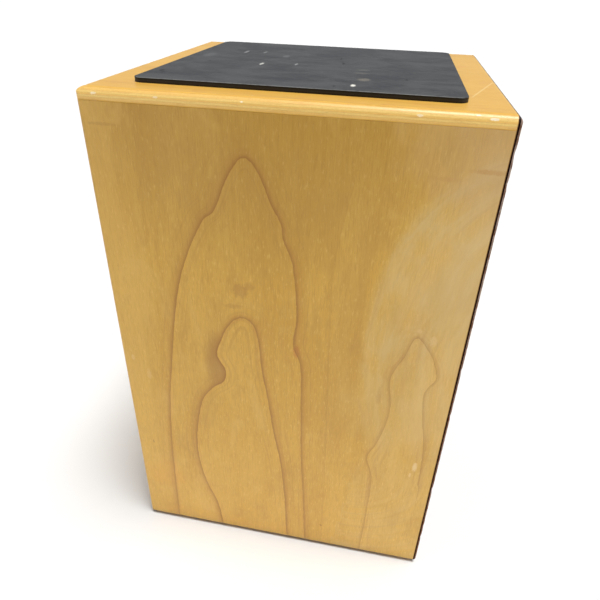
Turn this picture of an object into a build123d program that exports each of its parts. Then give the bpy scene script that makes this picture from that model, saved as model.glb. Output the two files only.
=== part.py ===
from build123d import *
import os

# Cajon: a plywood box drum that the player sits on, playing the thin front plate.
# +Z is up, the origin is on the floor under the middle of the box, and the tapa
# (the playing plate) faces -Y. "Left" is -X, as seen by someone facing the tapa.
# All lengths are in millimetres.

# ---- the wooden box ----
WIDTH = 290.0
BODY_DEPTH = 300.0
BODY_HEIGHT = 470.0
PLY = 9.0
TAPA_THICKNESS = 3.0
FOOT_HEIGHT = 5.0

TAPA_CORNER_RADIUS = 4.5
TOP_EDGE_RADIUS = 6.0
TOP_BACK_RADIUS = 6.5
BACK_EDGE_RADIUS = 3.0
SMALL_EDGE_RADIUS = 1.0
JOINT_CHAMFER = 0.25

SOUND_HOLE_RADIUS = 60.0
SOUND_HOLE_HEIGHT = 285.0
SOUND_HOLE_EDGE_RADIUS = 2.0

DEPTH = BODY_DEPTH + TAPA_THICKNESS
LEFT = -WIDTH / 2
RIGHT = WIDTH / 2
FRONT = -DEPTH / 2
TAPA_BACK = FRONT + TAPA_THICKNESS
BACK = DEPTH / 2
BOTTOM = FOOT_HEIGHT
TOP = BOTTOM + BODY_HEIGHT
INNER_X = WIDTH / 2 - PLY
INNER_BACK = BACK - PLY
INNER_BOTTOM = BOTTOM + PLY
INNER_TOP = TOP - PLY

# ---- the battens glued inside the corners ----
FRONT_BATTEN_DEPTH = 20.0
FRONT_BATTEN_HEIGHT = 18.0
FRONT_BATTEN_WIDTH = 12.0
BACK_BATTEN_SIDE = 12.0

# ---- the seat pad ----
PAD_WIDTH = 238.0
PAD_DEPTH = 241.0
PAD_THICKNESS = 3.5
PAD_CORNER_RADIUS = 8.0
PAD_EDGE_RADIUS = 0.6

# ---- tapa screws (flat heads, flush with the playing face) ----
TAPA_SCREW_RADIUS = 1.75
TAPA_SCREW_HEAD_RADIUS = 3.5
TAPA_SCREW_LENGTH = 16.0
SIDE_SCREW_X = INNER_X - FRONT_BATTEN_WIDTH / 2
SIDE_SCREW_ROWS = 6
TOP_SCREW_Z = INNER_TOP - FRONT_BATTEN_HEIGHT / 2
BOTTOM_SCREW_Z = INNER_BOTTOM + FRONT_BATTEN_HEIGHT / 2
TOP_SCREW_X = [-58.0, 0.0, 58.0]
BOTTOM_SCREW_X = [-90.0, 0.0, 90.0]

# ---- feet ----
FOOT_X = 115.0
FOOT_Y = 118.0
FOOT_TOP_RADIUS = 12.0
FOOT_FLOOR_RADIUS = 10.5
FOOT_RECESS_RADIUS = 4.8
FOOT_WASHER_RADIUS = 4.5
FOOT_WASHER_THICKNESS = 0.8
FOOT_WASHER_BASE = 2.5
FOOT_SCREW_RADIUS = 1.75
FOOT_SCREW_HEAD_RADIUS = 3.6
FOOT_SCREW_HEAD_HEIGHT = 1.9
FOOT_SCREW_LENGTH = 10.0

# ---- string adjusters, one on each side of the middle ----
ADJUSTER_X = 35.0
ADJUSTER_Y = -131.0
BLOCK_HALF_WIDTH = 62.0
BLOCK_BACK = -120.0
BLOCK_HEIGHT = 38.0
BLOCK_STEP_HEIGHT = 18.0
BLOCK_STEP_DEPTH = 2.0
CHANNEL_FLOOR = INNER_BOTTOM + 12.0
CHANNEL_WIDTH = 25.0
CHANNEL_FRONT = -143.5
CHANNEL_BACK = -124.5
CHANNEL_GAP = 0.4
BLOCK_SCREW_X = 55.0
BLOCK_SCREW_Y = -134.0
BLOCK_SCREW_LENGTH = 25.0

WRENCH_HOLE_RADIUS = 6.0
ADJUSTER_RADIUS = 2.5
RUNNING_CLEARANCE = 0.06
ADJUSTER_HEAD_RADIUS = 4.25
ADJUSTER_HEAD_HEIGHT = 5.0
ADJUSTER_LENGTH = 35.0
HEX_ACROSS_FLATS = 4.0
HEX_DEPTH = 2.5
MOVING_GAP = 0.3
WASHER_RADIUS = 5.5
WASHER_THICKNESS = 1.0
WASHER_HOLE_RADIUS = 2.85
CLIP_RADIUS = 4.5
CLIP_THICKNESS = 0.8
CLIP_GAP = 0.4

CARRIAGE_BASE = INNER_BOTTOM + 20.0
CARRIAGE_HEIGHT = 8.0

# ---- strings ----
STRING_RADIUS = 0.45
STRING_HOLE_RADIUS = 0.7
STRING_SPREAD = 7.0
STRING_Y = -139.0
STRING_TOP_Y = TAPA_BACK + 0.9
STRING_TOP_X = {"outer": 95.0, "inner": 22.0}
BALL_RADIUS = 2.0
BALL_LENGTH = 3.2
KERF_WIDTH = 1.6
KERF_DEPTH = 2.0
POCKET_SIDE = 5.0
POCKET_FLOOR = INNER_TOP - 11.0


def block(x, y, z):
    """A box from three (low, high) pairs."""
    size = [high - low for low, high in (x, y, z)]
    centre = [(high + low) / 2 for low, high in (x, y, z)]
    return Pos(*centre) * Box(*size)


def rod(radius, start, end):
    """A round bar between two points."""
    along = Vector(*end) - Vector(*start)
    plane = Plane(origin=start, z_dir=along)
    return extrude(plane * Circle(radius), amount=along.length)


def ring(outer, inner, thickness):
    """A flat ring standing on its own origin."""
    return extrude(Circle(outer) - Circle(inner), amount=thickness)


def rounded_outline(width, height, low_left, low_right, high_left, high_right):
    """A rectangle with its own radius at each corner."""
    outline = Rectangle(width, height)
    radii = {(-1, -1): low_left, (1, -1): low_right, (-1, 1): high_left, (1, 1): high_right}
    for (side, level), radius in radii.items():
        corner = Vector(side * width / 2, level * height / 2)
        nearest = outline.vertices().sort_by_distance(corner)[0]
        outline = fillet(nearest, radius)
    return outline


def outer_form():
    """The finished outside of the box, tapa included, with every sanded edge."""
    middle = (BOTTOM + TOP) / 2
    side_view = rounded_outline(
        DEPTH, BODY_HEIGHT, TAPA_CORNER_RADIUS, SMALL_EDGE_RADIUS, TAPA_CORNER_RADIUS, TOP_BACK_RADIUS
    )
    front_view = rounded_outline(
        WIDTH, BODY_HEIGHT, SMALL_EDGE_RADIUS, SMALL_EDGE_RADIUS, TOP_EDGE_RADIUS, TOP_EDGE_RADIUS
    )
    plan_view = rounded_outline(
        WIDTH, DEPTH, SMALL_EDGE_RADIUS, SMALL_EDGE_RADIUS, BACK_EDGE_RADIUS, BACK_EDGE_RADIUS
    )
    centre = Pos(0, 0, middle)
    along_x = extrude(centre * (Plane.YZ * side_view), amount=WIDTH / 2, both=True)
    along_y = extrude(centre * (Plane.XZ * front_view), amount=DEPTH / 2, both=True)
    along_z = extrude(centre * plan_view, amount=BODY_HEIGHT / 2, both=True)
    return along_x & along_y & along_z


def screw_solid(head_radius, radius, length):
    """A countersunk screw, head face at its origin and point towards -Z, with no recess."""
    rim = 0.3
    cone = head_radius - radius
    tip = 2.5
    profile = Polyline(
        (0, 0),
        (head_radius, 0),
        (head_radius, -rim),
        (radius, -rim - cone),
        (radius, -length + tip),
        (0.4, -length),
        (0, -length),
        close=True,
    )
    return revolve(Plane.XZ * make_face(profile), Axis.Z)


def cross_recess(reach, width, depth):
    """The driver's cross, cut down from the head face."""
    bar = Pos(0, 0, -depth / 2) * Box(2 * reach, width, depth)
    return bar + Rot(0, 0, 90) * bar


def facing_front(x, z):
    """A place on the playing face, looking out of it."""
    return Plane(origin=(x, FRONT, z), x_dir=(1, 0, 0), z_dir=(0, -1, 0)).location


def facing_down(x, y, z):
    """A place under the box, looking down."""
    return Plane(origin=(x, y, z), x_dir=(1, 0, 0), z_dir=(0, 0, -1)).location


def tapa_screw_places():
    """Every screw round the edge of the tapa."""
    places = []
    step = (TOP_SCREW_Z - BOTTOM_SCREW_Z) / (SIDE_SCREW_ROWS - 1)
    for x in (-SIDE_SCREW_X, SIDE_SCREW_X):
        for row in range(SIDE_SCREW_ROWS):
            places.append(facing_front(x, BOTTOM_SCREW_Z + row * step))
    places += [facing_front(x, TOP_SCREW_Z) for x in TOP_SCREW_X]
    places += [facing_front(x, BOTTOM_SCREW_Z) for x in BOTTOM_SCREW_X]
    return places


def block_screw_places():
    """The two screws that hold the adjuster block down."""
    return [facing_down(x, BLOCK_SCREW_Y, BOTTOM) for x in (-BLOCK_SCREW_X, BLOCK_SCREW_X)]


def foot_places():
    """Foot name and the middle of its top, for all four."""
    places = {}
    for row, y in (("front", -FOOT_Y), ("back", FOOT_Y)):
        for side, x in (("left", -FOOT_X), ("right", FOOT_X)):
            places[f"foot_{row}_{side}"] = (x, y)
    return places


def cut_all(solid, cutters):
    """The solid less each cutter in turn."""
    for cutter in cutters:
        solid = solid - cutter
    return solid


def at(places, solid):
    """One copy of the solid at each place."""
    return [place * solid for place in places]


def foot_screw():
    """A round-headed screw pointing up, its origin under the head's seat."""
    head = Pos(0, 0, -FOOT_SCREW_HEAD_HEIGHT) * extrude(
        Circle(FOOT_SCREW_HEAD_RADIUS), amount=FOOT_SCREW_HEAD_HEIGHT
    )
    head = fillet(head.edges().group_by(Axis.Z)[0], FOOT_SCREW_HEAD_HEIGHT * 0.6)
    shank = extrude(Circle(FOOT_SCREW_RADIUS), amount=FOOT_SCREW_LENGTH - 2)
    point = Pos(0, 0, FOOT_SCREW_LENGTH - 1) * Cone(FOOT_SCREW_RADIUS, 0.4, 2)
    return head + shank + point


def make_box(nodes):
    """The six panels' worth of plywood and the tapa, cut from one outer form."""
    form = outer_form()
    whole_x = (LEFT - 1, RIGHT + 1)
    behind_tapa = (TAPA_BACK, BACK + 1)
    tapa_screw = screw_solid(TAPA_SCREW_HEAD_RADIUS, TAPA_SCREW_RADIUS, TAPA_SCREW_LENGTH)
    block_screw = screw_solid(TAPA_SCREW_HEAD_RADIUS, TAPA_SCREW_RADIUS, BLOCK_SCREW_LENGTH)

    top = form & block(whole_x, behind_tapa, (INNER_TOP, TOP + 1))
    outer_low = [edge for edge in top.edges().filter_by(Axis.Y) if abs(edge.center().Z - INNER_TOP) < 0.01]
    nodes["top_panel"] = chamfer(outer_low, JOINT_CHAMFER)

    for name, outside, inside in (("left", LEFT - 1, -INNER_X), ("right", RIGHT + 1, INNER_X)):
        span = (min(outside, inside), max(outside, inside))
        panel = form & block(span, behind_tapa, (BOTTOM - 1, INNER_TOP))
        edges = panel.edges().filter_by(Axis.Y)
        high = [edge for edge in edges if edge.center().Z > INNER_TOP - 0.01 and abs(edge.center().X) > INNER_X + 1]
        nodes[f"{name}_side_panel"] = chamfer(high, JOINT_CHAMFER)

    bottom = form & block((-INNER_X, INNER_X), behind_tapa, (BOTTOM - 1, INNER_BOTTOM))
    holes = [
        Pos(x, ADJUSTER_Y, BOTTOM + PLY / 2) * Cylinder(WRENCH_HOLE_RADIUS, PLY + 2)
        for x in (-ADJUSTER_X, ADJUSTER_X)
    ]
    holes += at(block_screw_places(), block_screw)
    holes += [
        Pos(x, y, FOOT_WASHER_BASE + FOOT_WASHER_THICKNESS) * foot_screw() for x, y in foot_places().values()
    ]
    nodes["bottom_panel"] = cut_all(bottom, holes)

    back = block((-INNER_X, INNER_X), (INNER_BACK, BACK), (INNER_BOTTOM, INNER_TOP))
    hole = Pos(0, BACK - PLY / 2, BOTTOM + SOUND_HOLE_HEIGHT) * Rot(90, 0, 0) * Cylinder(SOUND_HOLE_RADIUS, PLY + 2)
    back = back - hole
    rims = back.edges().filter_by(GeomType.CIRCLE)
    nodes["back_panel"] = fillet(rims, SOUND_HOLE_EDGE_RADIUS)

    tapa = form & block(whole_x, (FRONT - 1, TAPA_BACK), (BOTTOM - 1, TOP + 1))
    nodes["tapa"] = cut_all(tapa, at(tapa_screw_places(), tapa_screw))

    finished = tapa_screw - cross_recess(2.0, 0.8, 1.5)
    nodes["tapa_screws"] = at(tapa_screw_places(), finished)
    nodes["block_screws"] = at(block_screw_places(), block_screw - cross_recess(2.0, 0.8, 1.5))


def string_pockets():
    """Saw kerfs and pockets in the top batten that hold the strings' upper ends."""
    cutters = []
    for x in [side * place for side in (-1, 1) for place in STRING_TOP_X.values()]:
        kerf_y = (TAPA_BACK, TAPA_BACK + KERF_DEPTH)
        low = INNER_TOP - FRONT_BATTEN_HEIGHT
        cutters.append(block((x - KERF_WIDTH / 2, x + KERF_WIDTH / 2), kerf_y, (low, POCKET_FLOOR)))
        pocket_y = (TAPA_BACK, TAPA_BACK + POCKET_SIDE)
        pocket_z = (POCKET_FLOOR, POCKET_FLOOR + POCKET_SIDE)
        cutters.append(block((x - POCKET_SIDE / 2, x + POCKET_SIDE / 2), pocket_y, pocket_z))
    return cutters


def make_battens(nodes):
    """Solid wood strips that stiffen the corners and take the tapa's screws."""
    screws = at(
        tapa_screw_places(), screw_solid(TAPA_SCREW_HEAD_RADIUS, TAPA_SCREW_RADIUS, TAPA_SCREW_LENGTH)
    )
    front_y = (TAPA_BACK, TAPA_BACK + FRONT_BATTEN_DEPTH)
    low_z = (INNER_BOTTOM, INNER_BOTTOM + FRONT_BATTEN_HEIGHT)
    high_z = (INNER_TOP - FRONT_BATTEN_HEIGHT, INNER_TOP)

    top = block((-INNER_X, INNER_X), front_y, high_z)
    nodes["front_batten_top"] = cut_all(top, screws + string_pockets())
    for name, side in (("left", -1), ("right", 1)):
        low, high = sorted((side * INNER_X, side * (INNER_X - FRONT_BATTEN_WIDTH)))
        post = block((low, high), front_y, (low_z[1], high_z[0]))
        nodes[f"front_batten_{name}"] = cut_all(post, screws)
        low, high = sorted((side * INNER_X, side * BLOCK_HALF_WIDTH))
        foot_strip = block((low, high), front_y, low_z)
        nodes[f"front_batten_bottom_{name}"] = cut_all(foot_strip, screws)

    back_y = (INNER_BACK - BACK_BATTEN_SIDE, INNER_BACK)
    inner = BACK_BATTEN_SIDE
    nodes["back_batten_top"] = block((-INNER_X, INNER_X), back_y, (INNER_TOP - inner, INNER_TOP))
    nodes["back_batten_bottom"] = block((-INNER_X, INNER_X), back_y, (INNER_BOTTOM, INNER_BOTTOM + inner))
    upright_z = (INNER_BOTTOM + inner, INNER_TOP - inner)
    nodes["back_batten_left"] = block((-INNER_X, -INNER_X + inner), back_y, upright_z)
    nodes["back_batten_right"] = block((INNER_X - inner, INNER_X), back_y, upright_z)


def make_seat_pad(nodes):
    """The thin rubber mat glued on the seat."""
    pad = Pos(0, 0, TOP) * extrude(RectangleRounded(PAD_WIDTH, PAD_DEPTH, PAD_CORNER_RADIUS), amount=PAD_THICKNESS)
    nodes["seat_pad"] = fillet(pad.edges().group_by(Axis.Z)[-1], PAD_EDGE_RADIUS)


def make_feet(nodes):
    """Four low rubber buttons, each with its washer and screw."""
    foot = Pos(0, 0, FOOT_HEIGHT / 2) * Cone(FOOT_FLOOR_RADIUS, FOOT_TOP_RADIUS, FOOT_HEIGHT)
    foot = fillet(foot.edges().group_by(Axis.Z)[0], 0.8)
    seat = FOOT_WASHER_BASE + FOOT_WASHER_THICKNESS
    foot = foot - extrude(Circle(FOOT_RECESS_RADIUS), amount=seat)
    foot = foot - extrude(Circle(FOOT_SCREW_RADIUS), amount=FOOT_HEIGHT)
    washer = Pos(0, 0, FOOT_WASHER_BASE) * ring(FOOT_WASHER_RADIUS, FOOT_SCREW_RADIUS, FOOT_WASHER_THICKNESS)
    driver = facing_down(0, 0, -FOOT_SCREW_HEAD_HEIGHT) * cross_recess(1.8, 0.7, 1.2)
    screw = Pos(0, 0, FOOT_WASHER_BASE) * (foot_screw() - driver)
    spots = [Pos(x, y, 0) for x, y in foot_places().values()]
    for name, spot in zip(foot_places(), spots):
        nodes[name] = spot * foot
    nodes["foot_washers"] = at(spots, washer)
    nodes["foot_screws"] = at(spots, screw)


def make_adjuster_block(nodes):
    """The beech block behind the foot of the tapa, with a channel for each string carriage."""
    half = (-BLOCK_HALF_WIDTH, BLOCK_HALF_WIDTH)
    high = INNER_BOTTOM + BLOCK_HEIGHT
    step = INNER_BOTTOM + BLOCK_STEP_HEIGHT
    body = block(half, (TAPA_BACK, BLOCK_BACK), (INNER_BOTTOM, high))
    cutters = [block(half, (TAPA_BACK, TAPA_BACK + BLOCK_STEP_DEPTH), (step, high))]
    for x in (-ADJUSTER_X, ADJUSTER_X):
        sides = (x - CHANNEL_WIDTH / 2, x + CHANNEL_WIDTH / 2)
        cutters.append(block(sides, (CHANNEL_FRONT, CHANNEL_BACK), (CHANNEL_FLOOR, high)))
        bore = ADJUSTER_RADIUS + RUNNING_CLEARANCE
        cutters.append(rod(bore, (x, ADJUSTER_Y, INNER_BOTTOM), (x, ADJUSTER_Y, CHANNEL_FLOOR)))
    long_screw = screw_solid(TAPA_SCREW_HEAD_RADIUS, TAPA_SCREW_RADIUS, BLOCK_SCREW_LENGTH)
    short_screw = screw_solid(TAPA_SCREW_HEAD_RADIUS, TAPA_SCREW_RADIUS, TAPA_SCREW_LENGTH)
    cutters += at(block_screw_places(), long_screw)
    cutters += at(tapa_screw_places(), short_screw)
    nodes["adjuster_block"] = cut_all(body, cutters)

    washer = ring(WASHER_RADIUS, WASHER_HOLE_RADIUS, WASHER_THICKNESS)
    spots = [Pos(x, ADJUSTER_Y, INNER_BOTTOM - WASHER_THICKNESS) for x in (-ADJUSTER_X, ADJUSTER_X)]
    nodes["adjuster_washers"] = at(spots, washer)


def adjuster_screw(x):
    """A socket-head screw pointing up, reached with a hex key from under the box."""
    seat = INNER_BOTTOM - WASHER_THICKNESS - MOVING_GAP
    low = seat - ADJUSTER_HEAD_HEIGHT
    head = rod(ADJUSTER_HEAD_RADIUS, (x, ADJUSTER_Y, low), (x, ADJUSTER_Y, seat))
    head = fillet(head.edges().group_by(Axis.Z)[0], 0.4)
    across_corners = HEX_ACROSS_FLATS / 3**0.5
    socket = Pos(x, ADJUSTER_Y, low) * extrude(RegularPolygon(across_corners, 6), amount=HEX_DEPTH)
    shank = rod(ADJUSTER_RADIUS, (x, ADJUSTER_Y, seat), (x, ADJUSTER_Y, seat + ADJUSTER_LENGTH))
    shank = chamfer(shank.edges().group_by(Axis.Z)[-1], 0.6)
    return head - socket + shank


def string_carriage(x):
    """The brass nut block that rides up and down the screw and pulls the strings."""
    sides = (x - CHANNEL_WIDTH / 2 + CHANNEL_GAP, x + CHANNEL_WIDTH / 2 - CHANNEL_GAP)
    depth = (CHANNEL_FRONT + CHANNEL_GAP, CHANNEL_BACK - CHANNEL_GAP)
    body = block(sides, depth, (CARRIAGE_BASE, CARRIAGE_BASE + CARRIAGE_HEIGHT))
    body = chamfer(body.edges().filter_by(Axis.Z), 0.8)
    thread = ADJUSTER_RADIUS + RUNNING_CLEARANCE
    high = CARRIAGE_BASE + CARRIAGE_HEIGHT
    body = body - rod(thread, (x, ADJUSTER_Y, CARRIAGE_BASE), (x, ADJUSTER_Y, high))
    for place in (x - STRING_SPREAD, x + STRING_SPREAD):
        body = body - rod(STRING_HOLE_RADIUS, (place, STRING_Y, CARRIAGE_BASE), (place, STRING_Y, high))
    return body


def steel_string(low_x, high_x):
    """One straight string from under the carriage to its kerf in the top batten."""
    ball_middle = CARRIAGE_BASE - BALL_RADIUS
    points = [
        (low_x, STRING_Y, ball_middle + BALL_RADIUS),
        (low_x, STRING_Y, CARRIAGE_BASE + CARRIAGE_HEIGHT + 0.5),
        (high_x, STRING_TOP_Y, INNER_TOP - FRONT_BATTEN_HEIGHT - 0.5),
        (high_x, STRING_TOP_Y, POCKET_FLOOR - 0.35),
    ]
    string = rod(STRING_RADIUS, points[0], points[1])
    for start, end in zip(points[1:], points[2:]):
        string = string + Pos(*start) * Sphere(STRING_RADIUS + 0.01) + rod(STRING_RADIUS, start, end)
    return string


def ball_end(x, y, z):
    """The small brass ferrule on a string's end, lying across the string."""
    half = BALL_LENGTH / 2
    return rod(BALL_RADIUS, (x - half, y, z), (x + half, y, z))


def make_strings(nodes):
    """Both sets of strings with the moving pieces that tune them."""
    anchors = []
    for name, side in (("left", -1), ("right", 1)):
        x = side * ADJUSTER_X
        nodes[f"adjuster_screw_{name}"] = adjuster_screw(x)
        clip = ring(CLIP_RADIUS, ADJUSTER_RADIUS, CLIP_THICKNESS)
        nodes[f"screw_clip_{name}"] = Pos(x, ADJUSTER_Y, CHANNEL_FLOOR + CLIP_GAP) * clip
        nodes[f"string_carriage_{name}"] = string_carriage(x)
        balls = []
        for which, spread in (("outer", side), ("inner", -side)):
            low_x = x + spread * STRING_SPREAD
            high_x = side * STRING_TOP_X[which]
            nodes[f"string_{name}_{which}"] = steel_string(low_x, high_x)
            balls.append(ball_end(low_x, STRING_Y, CARRIAGE_BASE - BALL_RADIUS))
            anchors.append(ball_end(high_x, TAPA_BACK + BALL_RADIUS + 0.3, POCKET_FLOOR + BALL_RADIUS))
        nodes[f"string_ends_{name}"] = balls
    nodes["string_anchors"] = anchors


def main():
    nodes = {}
    make_box(nodes)
    make_battens(nodes)
    make_seat_pad(nodes)
    make_feet(nodes)
    make_adjuster_block(nodes)
    make_strings(nodes)
    os.makedirs("parts", exist_ok=True)
    for name, shape in nodes.items():
        solids = shape if isinstance(shape, list) else shape.solids()
        whole = solids[0] if len(solids) == 1 else Compound(children=list(solids))
        export_step(whole, f"parts/{name}.step")


main()
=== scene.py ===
import math

import bmesh
import bpy
import numpy as np
from mathutils import Matrix, Vector


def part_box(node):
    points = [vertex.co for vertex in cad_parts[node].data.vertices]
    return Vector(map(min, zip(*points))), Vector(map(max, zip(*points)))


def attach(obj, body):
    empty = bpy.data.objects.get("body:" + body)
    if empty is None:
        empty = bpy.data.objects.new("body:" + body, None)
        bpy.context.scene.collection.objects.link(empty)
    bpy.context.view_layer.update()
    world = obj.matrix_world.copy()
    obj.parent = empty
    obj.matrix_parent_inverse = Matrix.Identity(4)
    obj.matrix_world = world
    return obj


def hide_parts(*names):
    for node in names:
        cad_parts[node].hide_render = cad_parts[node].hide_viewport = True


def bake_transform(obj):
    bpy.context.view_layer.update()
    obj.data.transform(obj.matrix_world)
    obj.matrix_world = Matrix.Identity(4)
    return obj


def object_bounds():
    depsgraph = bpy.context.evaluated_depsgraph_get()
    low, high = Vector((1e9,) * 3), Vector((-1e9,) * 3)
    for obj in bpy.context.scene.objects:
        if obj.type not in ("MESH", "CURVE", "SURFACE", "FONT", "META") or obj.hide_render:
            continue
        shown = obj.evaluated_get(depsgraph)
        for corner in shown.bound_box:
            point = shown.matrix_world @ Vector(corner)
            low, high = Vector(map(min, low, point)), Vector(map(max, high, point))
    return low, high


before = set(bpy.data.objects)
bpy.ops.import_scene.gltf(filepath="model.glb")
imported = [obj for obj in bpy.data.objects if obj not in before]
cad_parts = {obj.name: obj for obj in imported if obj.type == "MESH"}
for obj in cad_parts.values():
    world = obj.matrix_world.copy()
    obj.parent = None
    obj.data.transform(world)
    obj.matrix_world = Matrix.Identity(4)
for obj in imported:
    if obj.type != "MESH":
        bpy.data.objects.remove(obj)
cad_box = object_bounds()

MM = 0.001


# ---- the room ----
# The drum stands on a plain pale floor in a white studio. A soft sun from above and a little from
# the tapa's side makes the seat brightest; the side panel gets what the floor throws back at it.

box_low, box_high = (Vector(corner) for corner in cad_box)
left_panel_low, left_panel_high = (Vector(c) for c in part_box("left_side_panel"))
BODY_BACK = left_panel_high.y
BODY_BOTTOM = left_panel_low.z


def add(tree, kind, inputs=None, **settings):
    """A node with its settings and inputs; an input is a number, a colour or another node's socket."""
    made = tree.nodes.new(kind)
    for key, value in settings.items():
        setattr(made, key, value)
    for key, value in (inputs or {}).items():
        if isinstance(value, bpy.types.NodeSocket):
            tree.links.new(value, made.inputs[key])
        else:
            made.inputs[key].default_value = value
    return made


def fade(tree, value, start, end, low=0.0, high=1.0):
    """A smooth step from low to high as value goes from start to end."""
    inputs = {"Value": value, "From Min": start, "From Max": end, "To Min": low, "To Max": high}
    made = add(tree, "ShaderNodeMapRange", inputs, interpolation_type="SMOOTHSTEP")
    return made.outputs["Result"]


def split(tree, place):
    """The X, Y and Z of a place."""
    return add(tree, "ShaderNodeSeparateXYZ", {0: place}).outputs


HORIZON_LIGHT, OVERHEAD_LIGHT = 1.0, 0.28
world = bpy.data.worlds.new("studio")
bpy.context.scene.world = world
world.use_nodes = True
sky = world.node_tree
sky_height = split(sky, add(sky, "ShaderNodeTexCoord").outputs["Generated"])[2]
sky_level = fade(sky, sky_height, 0.02, 0.22, HORIZON_LIGHT, OVERHEAD_LIGHT)
sky.links.new(sky_level, sky.nodes["Background"].inputs["Strength"])
sky.nodes["Background"].inputs["Color"].default_value = (0.94, 0.97, 1.0, 1)
bpy.context.scene.view_settings.view_transform = "Standard"


def stage_sheet(name, corners, grey):
    """A plain flat sheet of the studio."""
    mesh = bpy.data.meshes.new(name)
    mesh.from_pydata(corners, [], [(0, 1, 2, 3)])
    sheet = bpy.data.objects.new(name, mesh)
    bpy.context.collection.objects.link(sheet)
    paint_coat = bpy.data.materials.new(name)
    paint_coat.use_nodes = True
    shader = paint_coat.node_tree.nodes["Principled BSDF"]
    shader.inputs["Base Color"].default_value = (grey, grey, grey, 1)
    shader.inputs["Roughness"].default_value = 0.9
    shader.inputs["Specular IOR Level"].default_value = 0.1
    mesh.materials.append(paint_coat)
    return sheet


stage_sheet("studio_floor", [(-40, -40, 0), (40, -40, 0), (40, 40, 0), (-40, 40, 0)], 0.80)
# a dark card out of the camera's sight keeps the studio out of the side panel's lacquer
DARK_CARD_CORNERS = [(-0.9, -0.42, 0.2), (-0.9, 0.28, 0.2), (-0.9, 0.28, 1.9), (-0.9, -0.42, 1.9)]
dark_card = stage_sheet("dark_card", DARK_CARD_CORNERS, 0.05)
dark_card.visible_camera = False

sun = bpy.data.lights.new("soft_sun", "SUN")
sun.energy = 3.45
sun.angle = math.radians(24)
sun.color = (1.0, 0.99, 0.975)
sun_holder = bpy.data.objects.new("soft_sun", sun)
sun_holder.rotation_euler = Vector((-0.09, -0.17, 1.0)).to_track_quat("Z", "Y").to_euler()
bpy.context.collection.objects.link(sun_holder)


def floor_panel(name, place, size, power, tint, shines):
    """A glowing panel that lies on the floor and faces up; shines says if the lacquer mirrors it."""
    lamp = bpy.data.lights.new(name, "AREA")
    lamp.shape = "RECTANGLE"
    lamp.size, lamp.size_y = size
    lamp.energy = power
    lamp.color = tint
    holder = bpy.data.objects.new(name, lamp)
    holder.location = place
    holder.rotation_euler = (math.pi, 0, 0)
    holder.visible_glossy = shines
    bpy.context.collection.objects.link(holder)


floor_panel("bounce_panel", (-0.36, 0.0, 0.004), (0.40, 1.2), 0.75, (1.0, 0.96, 0.86), False)
floor_panel("sheen_panel", (-0.95, -0.62, 0.01), (0.7, 0.6), 3.5, (1.0, 1.0, 1.0), True)

CAMERA_FROM_CORNER = Vector((-349.4, -223.7, 543.8)) * MM
CAMERA_HEADING, CAMERA_DIP, CAMERA_ROLL = 9.82, 31.16, 1.75
camera = bpy.data.cameras.new("viewer")
camera.lens = 31.26
camera.sensor_width = 36
camera.shift_x = 0.006
camera.shift_y = -0.0253
camera.clip_start = 0.01
viewer = bpy.data.objects.new("viewer", camera)
back_corner = Vector((box_low.x, BODY_BACK, BODY_BOTTOM))
viewer.location = back_corner + CAMERA_FROM_CORNER
turn = Matrix.Rotation(math.radians(CAMERA_HEADING - 90), 3, "Z")
tilt = Matrix.Rotation(math.radians(90 - CAMERA_DIP), 3, "X")
roll = Matrix.Rotation(math.radians(CAMERA_ROLL), 3, "Z")
viewer.rotation_euler = (turn @ tilt @ roll).to_euler()
bpy.context.collection.objects.link(viewer)
bpy.context.scene.camera = viewer


# ---- the right side panel ----
# 9 mm plywood faced with rotary-cut veneer under a satin clear lacquer, glued to the battens.
# The veneer's growth rings make tall nested arches; each ring line is crisp inside, soft outside.

def calc(tree, operation, first, second=0.0, third=0.0, clamp=False):
    """The result of a Math node."""
    inputs = {0: first, 1: second, 2: third}
    return add(tree, "ShaderNodeMath", inputs, operation=operation, use_clamp=clamp).outputs[0]


MM_IN_A_METRE = 1000.0


def times(tree, first, second, clamp=False):
    """The product of two numbers or sockets."""
    return calc(tree, "MULTIPLY", first, second, clamp=clamp)


def plus(tree, first, second):
    """The sum of two numbers or sockets."""
    return calc(tree, "ADD", first, second)


def minus(tree, first, second):
    """The first number or socket less the second."""
    return calc(tree, "SUBTRACT", first, second)


def in_mm(tree, metres):
    """A length in millimetres."""
    return calc(tree, "MULTIPLY", metres, MM_IN_A_METRE)


def paint(tree, amount, under, over):
    """Colour under with colour over laid on by amount."""
    return add(tree, "ShaderNodeMix", {0: amount, 6: under, 7: over}, data_type="RGBA").outputs[2]


def noise(tree, place, stretch, detail=2.0, rough=0.5, seed=0.0, warp=0.0):
    """Noise whose grains measure stretch = (x, y, z) millimetres."""
    scaled = add(
        tree,
        "ShaderNodeVectorMath",
        {0: place, 1: tuple(MM_IN_A_METRE / size for size in stretch)},
        operation="MULTIPLY",
    )
    inputs = {"Vector": scaled.outputs[0], "W": seed, "Scale": 1.0, "Detail": detail, "Roughness": rough}
    inputs["Distortion"] = warp
    made = add(tree, "ShaderNodeTexNoise", inputs, noise_dimensions="4D")
    return made.outputs["Fac"]


def new_finish(name):
    """An empty node material, its tree, its surface shader and the place of each point."""
    material = bpy.data.materials.new(name)
    material.use_nodes = True
    tree = material.node_tree
    tree.nodes.clear()
    shader = add(tree, "ShaderNodeBsdfPrincipled")
    out = add(tree, "ShaderNodeOutputMaterial")
    tree.links.new(shader.outputs[0], out.inputs[0])
    place = add(tree, "ShaderNodeTexCoord").outputs["Object"]
    return material, tree, shader, place


def relief(tree, shader, height, strength, depth_mm):
    """Fine relief on the surface."""
    inputs = {"Strength": strength, "Distance": depth_mm * MM, "Height": height}
    tree.links.new(add(tree, "ShaderNodeBump", inputs).outputs[0], shader.inputs["Normal"])


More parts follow.
